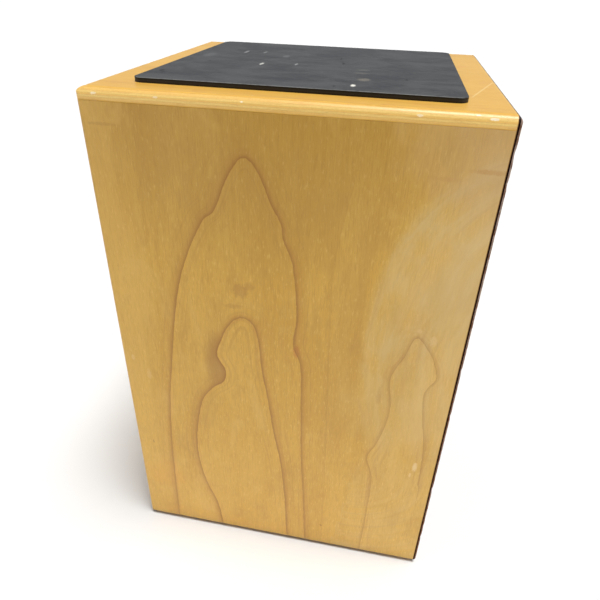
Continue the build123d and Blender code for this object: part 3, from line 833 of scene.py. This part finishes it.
def skin(shape, loops):
    """Faces between rings of the same count, first to last. Returns the rings' points."""
    rings = [[shape.verts.new(Vector(corner) * MM) for corner in loop] for loop in loops]
    for low, high in zip(rings, rings[1:]):
        for k in range(len(low)):
            after = (k + 1) % len(low)
            shape.faces.new((low[k], low[after], high[after], high[k]))
    return rings


def sunk_face(shape, outer, recess, depth, taper):
    """A flat face with a sunk recess: outer is a ring of points, recess the corners of its mouth."""
    height = outer[0].co.z / MM
    mouth, floor_ring = skin(shape, [[(x, y, height) for x, y in recess],
                                     [(x * taper, y * taper, height - depth) for x, y in recess]])
    shape.faces.new(floor_ring)
    edges = []
    for ring in (outer, mouth):
        for k in range(len(ring)):
            pair = (ring[k], ring[(k + 1) % len(ring)])
            edges.append(shape.edges.get(pair) or shape.edges.new(pair))
    bmesh.ops.triangle_fill(shape, use_beauty=True, edges=edges)


def finished_piece(shape, name, material, sharp=35):
    """Turns a built shape into an object with its normals outward and its sharp edges kept."""
    bmesh.ops.recalc_face_normals(shape, faces=shape.faces)
    for edge in shape.edges:
        edge.smooth = len(edge.link_faces) == 2 and edge.calc_face_angle(0) < math.radians(sharp)
    for face in shape.faces:
        face.smooth = True
    mesh = bpy.data.meshes.new(name)
    shape.to_mesh(mesh)
    shape.free()
    piece = bpy.data.objects.new(name, mesh)
    bpy.context.collection.objects.link(piece)
    mesh.materials.append(material)
    return piece


def new_tree(name, sockets):
    """An empty geometry tree with named inputs, its ends, and the inputs' identifiers."""
    tree = bpy.data.node_groups.new(name, "GeometryNodeTree")
    names = {}
    for label, kind in sockets.items():
        names[label] = tree.interface.new_socket(name=label, in_out="INPUT", socket_type=kind).identifier
    tree.interface.new_socket(name="Geometry", in_out="OUTPUT", socket_type="NodeSocketGeometry")
    return tree, add(tree, "NodeGroupInput").outputs, add(tree, "NodeGroupOutput"), names


def close_tree(tree, start, end, instances):
    """Realises the instances and gives them the finish."""
    real = add(tree, "GeometryNodeRealizeInstances", {"Geometry": instances}).outputs[0]
    coated = add(tree, "GeometryNodeSetMaterial", {"Geometry": real, "Material": start["Finish"]}).outputs[0]
    tree.links.new(coated, end.inputs[0])


def settle(name, points, edges, tree, names, values):
    """Runs a geometry tree over a mesh of points and keeps the result as one plain mesh."""
    seed_mesh = bpy.data.meshes.new(name)
    seed_mesh.from_pydata([Vector(point) * MM for point in points], edges, [])
    piece = bpy.data.objects.new(name, seed_mesh)
    bpy.context.collection.objects.link(piece)
    modifier = piece.modifiers.new("repeat", "NODES")
    modifier.node_group = tree
    for label, value in values.items():
        modifier[names[label]] = value
    bpy.context.view_layer.update()
    ready = piece.evaluated_get(bpy.context.evaluated_depsgraph_get())
    mesh = bpy.data.meshes.new_from_object(ready)
    piece.modifiers.clear()
    piece.data = mesh
    return piece


scatter, scatter_in, scatter_out, scatter_names = new_tree("driven_screws", {
    "Geometry": "NodeSocketGeometry", "Screw": "NodeSocketObject", "Turn": "NodeSocketFloat",
    "Seed": "NodeSocketInt", "Finish": "NodeSocketMaterial",
})
turn_range = {"Min": 0.0, "Max": scatter_in["Turn"], "Seed": scatter_in["Seed"]}
turned = add(scatter, "FunctionNodeRandomValue", turn_range).outputs[1]
spin = add(scatter, "ShaderNodeCombineXYZ", {1: turned}).outputs[0]
screw_mesh = add(scatter, "GeometryNodeObjectInfo", {"Object": scatter_in["Screw"]}).outputs["Geometry"]
at_places = {"Points": scatter_in["Geometry"], "Instance": screw_mesh, "Rotation": spin}
placed = add(scatter, "GeometryNodeInstanceOnPoints", at_places).outputs[0]
close_tree(scatter, scatter_in, scatter_out, placed)

CROSS = [(1.9, 0.4), (0.4, 0.4), (0.4, 1.9), (-0.4, 1.9), (-0.4, 0.4), (-1.9, 0.4),
         (-1.9, -0.4), (-0.4, -0.4), (-0.4, -1.9), (0.4, -1.9), (0.4, -0.4), (1.9, -0.4)]
# one screw, head up: radius and height of the head's rings, then core, crest and pitch of the thread
SCREW_HEAD = ((3.28, 0.0), (3.42, -0.12), (3.42, -0.35), (1.75, -2.0))
SCREW_CORE, SCREW_CREST, SCREW_PITCH, SCREW_TURNS = 1.35, 1.75, 1.5, 8
THREAD_START, SCREW_TIP = -3.0, -16.0
CROSS_DEPTH, CROSS_TAPER = 1.4, 0.72
screw_shape = bmesh.new()
screw_rings = [circle(radius, height) for radius, height in SCREW_HEAD]
for turn_count in range(SCREW_TURNS):
    height = THREAD_START - SCREW_PITCH * turn_count
    screw_rings += [circle(SCREW_CORE, height), circle(SCREW_CREST, height - 0.55)]
    screw_rings += [circle(SCREW_CORE, height - 1.1)]
screw_rings += [circle(0.15, SCREW_TIP)]
screw_verts = skin(screw_shape, screw_rings)
screw_shape.faces.new(screw_verts[-1])
sunk_face(screw_shape, screw_verts[0], CROSS, CROSS_DEPTH, CROSS_TAPER)
bmesh.ops.rotate(screw_shape, verts=screw_shape.verts, matrix=Matrix.Rotation(math.pi / 2, 3, "X"))
one_screw = finished_piece(screw_shape, "one_screw", black_steel)

FACE_Y = tapa_low.y / MM
LOW_SCREWS_Z, HIGH_SCREWS_Z, SCREW_SPACING, SIDE_SCREWS_X = 23, 457, 86.8, 130
side_rows = [LOW_SCREWS_Z + SCREW_SPACING * row for row in range(6)]
screw_places = [(x, FACE_Y, z) for x in (-SIDE_SCREWS_X, SIDE_SCREWS_X) for z in side_rows]
screw_places += [(x, FACE_Y, HIGH_SCREWS_Z) for x in (-58, 0, 58)]
screw_places += [(x, FACE_Y, LOW_SCREWS_Z) for x in (-90, 0, 90)]
driven_screws = settle("driven_tapa_screws", screw_places, [], scatter, scatter_names,
                       {"Screw": one_screw, "Turn": math.pi, "Seed": 5, "Finish": black_steel})
bpy.data.objects.remove(one_screw)
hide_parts("tapa_screws")
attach(driven_screws, "box")


# ---- the seat pad ----
# A thin mat of black foam rubber glued on the seat, with softened corners and edges.

pad_low, pad_high = (Vector(c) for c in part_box("seat_pad"))


def rounded_mat(name, low, high, corner, edge, step):
    """A flat mat with rounded corners and a softened upper edge."""
    shape = bmesh.new()
    ring = []
    steps = 12
    for side_x, side_y, first in ((1, 1, 0), (-1, 1, 90), (-1, -1, 180), (1, -1, 270)):
        middle_x = (high.x if side_x > 0 else low.x) - side_x * corner
        middle_y = (high.y if side_y > 0 else low.y) - side_y * corner
        for k in range(steps + 1):
            angle = math.radians(first + 90 * k / steps)
            ring.append((middle_x + corner * math.cos(angle), middle_y + corner * math.sin(angle)))
    base = [shape.verts.new((x, y, low.z)) for x, y in ring]
    top = [shape.verts.new((x, y, high.z)) for x, y in ring]
    shape.faces.new(list(reversed(base)))
    cap = shape.faces.new(top)
    for k in range(len(ring)):
        after = (k + 1) % len(ring)
        shape.faces.new((base[k], base[after], top[after], top[k]))
    rim = list(cap.edges)
    bmesh.ops.bevel(shape, geom=rim, offset=edge, segments=4, profile=0.6, affect="EDGES")
    for axis, places in ((0, rows(low.x, high.x, step)), (1, rows(low.y, high.y, step))):
        for place in places:
            point, normal = [0, 0, 0], [0, 0, 0]
            point[axis], normal[axis] = place, 1
            every = shape.verts[:] + shape.edges[:] + shape.faces[:]
            bmesh.ops.bisect_plane(shape, geom=every, dist=1e-7, plane_co=point, plane_no=normal)
    bmesh.ops.recalc_face_normals(shape, faces=shape.faces)
    for face in shape.faces:
        face.smooth = True
    for edge_found in shape.edges:
        edge_found.smooth = edge_found.calc_face_angle(0) < math.radians(40)
    mesh = bpy.data.meshes.new(name)
    shape.to_mesh(mesh)
    shape.free()
    piece = bpy.data.objects.new(name, mesh)
    bpy.context.collection.objects.link(piece)
    return piece


MAT_CORNER, MAT_EDGE, MAT_MESH_STEP = 8 * MM, 0.8 * MM, 6 * MM
seat_mat = rounded_mat("seat_mat", pad_low, pad_high, MAT_CORNER, MAT_EDGE, MAT_MESH_STEP)
MAT_MARK_SEED = 330.0
# scuffs and dust: millimetres from the back and from the right side, half size, colour, strength
MAT_MARKS = (
    ((106, 169), (1.9, 7.0), (214, 214, 206), 0.75), ((135, 161), (1.5, 6.5), (158, 164, 160), 0.7),
    ((74, 101), (1.7, 11.0), (160, 160, 158), 0.65), ((92, 97), (1.5, 9.0), (140, 140, 138), 0.6),
    ((117, 117), (4.0, 8.0), (116, 116, 116), 0.5), ((192, 243), (2.2, 5.5), (236, 234, 224), 1.0),
    ((198, 217), (6.0, 8.0), (128, 120, 108), 0.6), ((194, 188), (8.0, 5.0), (104, 100, 96), 0.5),
    ((194, 172), (7.0, 5.0), (102, 100, 96), 0.5), ((47, 132), (7.0, 16.0), (100, 102, 102), 0.5),
)
# nicks in the rubber, painted black as the shade inside each cut: where they are and their half size
MAT_NICK_SHADE = (
    ((174, 142), (1.3, 7.0)), ((169, 116), (1.0, 7.5)), ((172, 133), (1.6, 2.5)), ((230, 206), (1.0, 4.5)),
    ((40, 228), (2.2, 4.5)), ((44, 236), (1.6, 4.0)), ((179, 250), (0.9, 4.0)), ((59, 168), (0.8, 5.0)),
)


def mat_finish():
    """Foam rubber, dusted, nicked and scuffed; painted shade on its sides with a painted highlight band,
    black painted shade in its nicks, and a painted highlight along the near arris at the left, broken by
    dust.
    """
    material, tree, shader, place = new_finish("seat_rubber")
    axes = split(tree, place)
    across = in_mm(tree, minus(tree, BODY_BACK, axes[1]))
    near = in_mm(tree, minus(tree, box_high.x, axes[0]))
    cloud = noise(tree, place, (30, 44, 44), 5, 0.65, 101.0, 0.8)
    dust = noise(tree, place, (5, 3, 5), 4, 0.7, 102.0)
    pore = noise(tree, place, (0.7, 0.7, 0.7), 2, 0.6, 103.0)
    colour = paint(tree, fade(tree, cloud, 0.34, 0.64), linear(45, 46, 50), linear(75, 77, 78))
    colour = paint(tree, fade(tree, dust, 0.50, 0.74, 0.0, 0.5), colour, linear(88, 88, 88))
    colour = paint(tree, fade(tree, pore, 0.50, 0.72, 0.0, 0.55), colour, linear(30, 30, 33))
    for index, (middle, size, tint, strength) in enumerate(MAT_MARKS):
        scuff = spot(tree, across, near, middle, size, MAT_MARK_SEED + index, 1.6, place)
        colour = paint(tree, times(tree, scuff, strength), colour, linear(*tint))
    # painted shade inside each nick
    for middle, size in MAT_NICK_SHADE:
        nick_shade = times(tree, spot(tree, across, near, middle, size), 0.95)
        colour = paint(tree, nick_shade, colour, linear(4, 4, 4))
    facing = split(tree, add(tree, "ShaderNodeTexCoord").outputs["Normal"])[2]
    # painted highlight along the near arris at the left, broken by dust
    edge_gap = in_mm(tree, minus(tree, axes[0], pad_low.x))
    rim = fade(tree, calc(tree, "ABSOLUTE", minus(tree, edge_gap, 1.1)), 1.1, 0.3)
    rim = times(tree, rim, fade(tree, dust, 0.36, 0.60, 0.25, 0.85))
    colour = paint(tree, rim, colour, linear(150, 150, 148))
    # painted shade on the sides, with a painted highlight band along them
    height = in_mm(tree, minus(tree, axes[2], pad_low.z))
    side_highlight_band = fade(tree, calc(tree, "ABSOLUTE", minus(tree, height, 1.7)), 0.9, 0.3, 0.0, 0.8)
    shaded_side_colour = paint(tree, side_highlight_band, linear(8, 8, 8), linear(36, 35, 36))
    colour = paint(tree, fade(tree, facing, 0.45, 0.1), colour, shaded_side_colour)
    tree.links.new(colour, shader.inputs["Base Color"])
    tree.links.new(fade(tree, cloud, 0.3, 0.7, 0.44, 0.60), shader.inputs["Roughness"])
    shader.inputs["Specular IOR Level"].default_value = 0.42
    relief(tree, shader, plus(tree, pore, dust), 0.4, 0.15)
    return material


wear_coat(seat_mat, mat_finish())
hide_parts("seat_pad")
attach(seat_mat, "box")


# ---- the feet ----
# Four low moulded rubber buttons, each held by a round-headed screw on a washer in its recess.

def rubber(name, dark, pale, seed, grain=0.5):
    """Matt rubber, dusted paler in patches, with a fine leathery grain."""
    material, tree, shader, place = new_finish(name)
    cloud = noise(tree, place, (38, 38, 38), 4, 0.6, seed)
    dust = noise(tree, place, (2.5, 2.5, 2.5), 4, 0.7, seed + 1)
    pore = noise(tree, place, (grain, grain, grain), 2, 0.6, seed + 2)
    amount = plus(tree, times(tree, cloud, 0.6), times(tree, dust, 0.4))
    colour = paint(tree, fade(tree, amount, 0.35, 0.68), dark, pale)
    tree.links.new(colour, shader.inputs["Base Color"])
    tree.links.new(fade(tree, cloud, 0.3, 0.7, 0.42, 0.56), shader.inputs["Roughness"])
    shader.inputs["Specular IOR Level"].default_value = 0.5
    relief(tree, shader, pore, 0.35, 0.12)
    return material


# radius and height of each ring of a foot, from the recess round the outside and back up it
FOOT_PROFILE = (
    (4.8, 0.35), (5.15, 0.02), (6.5, 0.0), (6.75, 0.3), (7.35, 0.3), (7.6, 0.0), (9.5, 0.0), (10.15, 0.22),
    (10.52, 0.75), (10.8, 1.3), (11.0, 1.45), (11.1, 1.75), (11.75, 4.4), (11.95, 4.8), (11.9, 5.0),
    (1.8, 5.0), (1.8, 2.5), (4.8, 2.5),
)
foot_rubber = rubber("foot_rubber", linear(26, 26, 27), linear(44, 44, 45), 111.0)
for name in ("foot_front_left", "foot_front_right", "foot_back_left", "foot_back_right"):
    foot_low, foot_high = (Vector(c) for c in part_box(name))
    foot_shape = bmesh.new()
    skin(foot_shape, [circle(r, z, 48) for r, z in FOOT_PROFILE + FOOT_PROFILE[:1]])
    bmesh.ops.remove_doubles(foot_shape, verts=foot_shape.verts, dist=1e-7)
    middle = (foot_low + foot_high) / 2
    bmesh.ops.translate(foot_shape, verts=foot_shape.verts, vec=(middle.x, middle.y, foot_low.z))
    moulded = finished_piece(foot_shape, "moulded_" + name, foot_rubber)
    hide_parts(name)
    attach(moulded, "box")
wear_coat(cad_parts["foot_washers"], zinc_steel)
wear_coat(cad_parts["foot_screws"], zinc_steel)


# ---- the snare strings and their adjusters ----
# Two wound steel strings a side lie against the back of the tapa, between ball ends in the top
# batten and a brass carriage. A hex-socket screw under the block turns in place and draws the
# carriage up or down; a clip keeps it in and a washer takes the strings' pull.

wear_coat(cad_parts["block_screws"], zinc_steel)
wear_coat(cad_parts["adjuster_washers"], zinc_steel)
ADJUSTER_X, ADJUSTER_Y = 35.0, -131.0
THREAD_PITCH, THREAD_STEPS = 0.8, 6
THREAD_RADIUS, THREAD_WAVE = 2.28, 0.2
HEAD_LOW, HEAD_HIGH, SOCKET_TOP, SHANK_TOP = 7.7, 12.7, 10.2, 47.4
# from the middle of the 4 mm hex socket to its corners
SOCKET_REACH = 2.309
HEXAGON = [
    (SOCKET_REACH * math.cos(math.pi * k / 3), SOCKET_REACH * math.sin(math.pi * k / 3)) for k in range(6)
]
# the screw's head: radius, height above the floor, and the depth of its knurling
HEAD_PROFILE = (
    (3.7, 7.7, 0.0), (4.1, 7.95, 0.0), (4.14, 8.3, 0.09), (4.14, 12.2, 0.09), (4.1, 12.5, 0.0),
    (3.9, 12.7, 0.0), (2.5, 12.7, 0.0),
)
KNURLS = 36


def thread_ring(height, count=28):
    """One ring of a helical thread at this height."""
    corners = []
    for k in range(count):
        angle = 2 * math.pi * k / count
        wave = math.cos(2 * math.pi * height / THREAD_PITCH - angle)
        reach = THREAD_RADIUS + THREAD_WAVE * wave
        corners.append((reach * math.cos(angle), reach * math.sin(angle), height))
    return corners


def adjuster(side, x):
    """A knurled hex-socket screw, head down, with its thread."""
    shape = bmesh.new()
    head = [circle(radius, -height, 72, ripple, KNURLS) for radius, height, ripple in HEAD_PROFILE]
    rings = skin(shape, [[(px, -py, -pz) for px, py, pz in loop] for loop in head])
    shape.faces.new(rings[-1])
    socket = [[(px, py, height) for px, py in HEXAGON] for height in (HEAD_LOW, SOCKET_TOP)]
    mouth, floor_ring = skin(shape, socket)
    shape.faces.new(floor_ring)
    edges = []
    for ring in (rings[0], mouth):
        for k in range(len(ring)):
            pair = (ring[k], ring[(k + 1) % len(ring)])
            edges.append(shape.edges.get(pair) or shape.edges.new(pair))
    bmesh.ops.triangle_fill(shape, use_beauty=True, edges=edges)
    steps = int((SHANK_TOP - HEAD_HIGH) / THREAD_PITCH * THREAD_STEPS)
    loops = [thread_ring(HEAD_HIGH + k * THREAD_PITCH / THREAD_STEPS) for k in range(steps)]
    thread = skin(shape, loops + [circle(1.8, SHANK_TOP + 0.3, 28)])
    shape.faces.new(thread[0])
    shape.faces.new(thread[-1])
    bmesh.ops.translate(shape, verts=shape.verts, vec=(x * MM, ADJUSTER_Y * MM, 0))
    piece = finished_piece(shape, "threaded_adjuster_" + side, black_steel, 50)
    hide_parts("adjuster_screw_" + side)
    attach(piece, "tuner_" + side)


WIRE_PITCH = 0.62 * MM
# how far from its adjuster each string starts, and how far from the middle it ends at the top
STRING_SPREAD = {"outer": (7, 95), "inner": (-7, 22)}
winding, winding_in, winding_out, winding_names = new_tree("wound_string", {
    "Geometry": "NodeSocketGeometry", "Turn of Wire": "NodeSocketObject", "Pitch": "NodeSocketFloat",
    "Finish": "NodeSocketMaterial",
})
path = add(winding, "GeometryNodeMeshToCurve", {"Mesh": winding_in["Geometry"]}).outputs[0]
by_pitch = {"Curve": path, "Length": winding_in["Pitch"]}
spaced = add(winding, "GeometryNodeResampleCurve", by_pitch, mode="LENGTH").outputs[0]
tangent = add(winding, "GeometryNodeInputTangent").outputs[0]
facing = add(winding, "FunctionNodeAlignRotationToVector", {"Vector": tangent}, axis="Z").outputs[0]
wire_info = add(winding, "GeometryNodeObjectInfo", {"Object": winding_in["Turn of Wire"]})
on_path = {"Points": spaced, "Instance": wire_info.outputs["Geometry"], "Rotation": facing}
wound = add(winding, "GeometryNodeInstanceOnPoints", on_path).outputs[0]
close_tree(winding, winding_in, winding_out, wound)

string_wire = steel("wound_string_wire", linear(182, 172, 152), 1.0, 0.3, 97.0)
TURN_PROFILE = ((0.34, -0.32), (0.45, -0.14), (0.45, 0.14), (0.34, 0.32))
wire_turn = bmesh.new()
skin(wire_turn, [circle(radius, height, 8) for radius, height in TURN_PROFILE])
one_turn = finished_piece(wire_turn, "one_turn_of_wire", string_wire, 80)

for side, toward in (("left", -1), ("right", 1)):
    adjuster(side, ADJUSTER_X * toward)
    wear_coat(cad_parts["screw_clip_" + side], zinc_steel)
    wear_coat(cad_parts["string_carriage_" + side], brass)
    wear_coat(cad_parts["string_ends_" + side], brass)
    for which, (at_foot, at_top) in STRING_SPREAD.items():
        low_x, high_x = (ADJUSTER_X + at_foot) * toward, at_top * toward
        way = [(low_x, -139, 34.4), (low_x, -139, 42.5), (high_x, -147.6, 447.5), (high_x, -147.6, 454.3)]
        settings = {"Turn of Wire": one_turn, "Pitch": WIRE_PITCH, "Finish": string_wire}
        piece_name = "wound_string_" + side + "_" + which
        runs = [(0, 1), (1, 2), (2, 3)]
        string = settle(piece_name, way, runs, winding, winding_names, settings)
        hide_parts("string_" + side + "_" + which)
        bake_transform(string)
bpy.data.objects.remove(one_turn)
wear_coat(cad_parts["string_anchors"], brass)
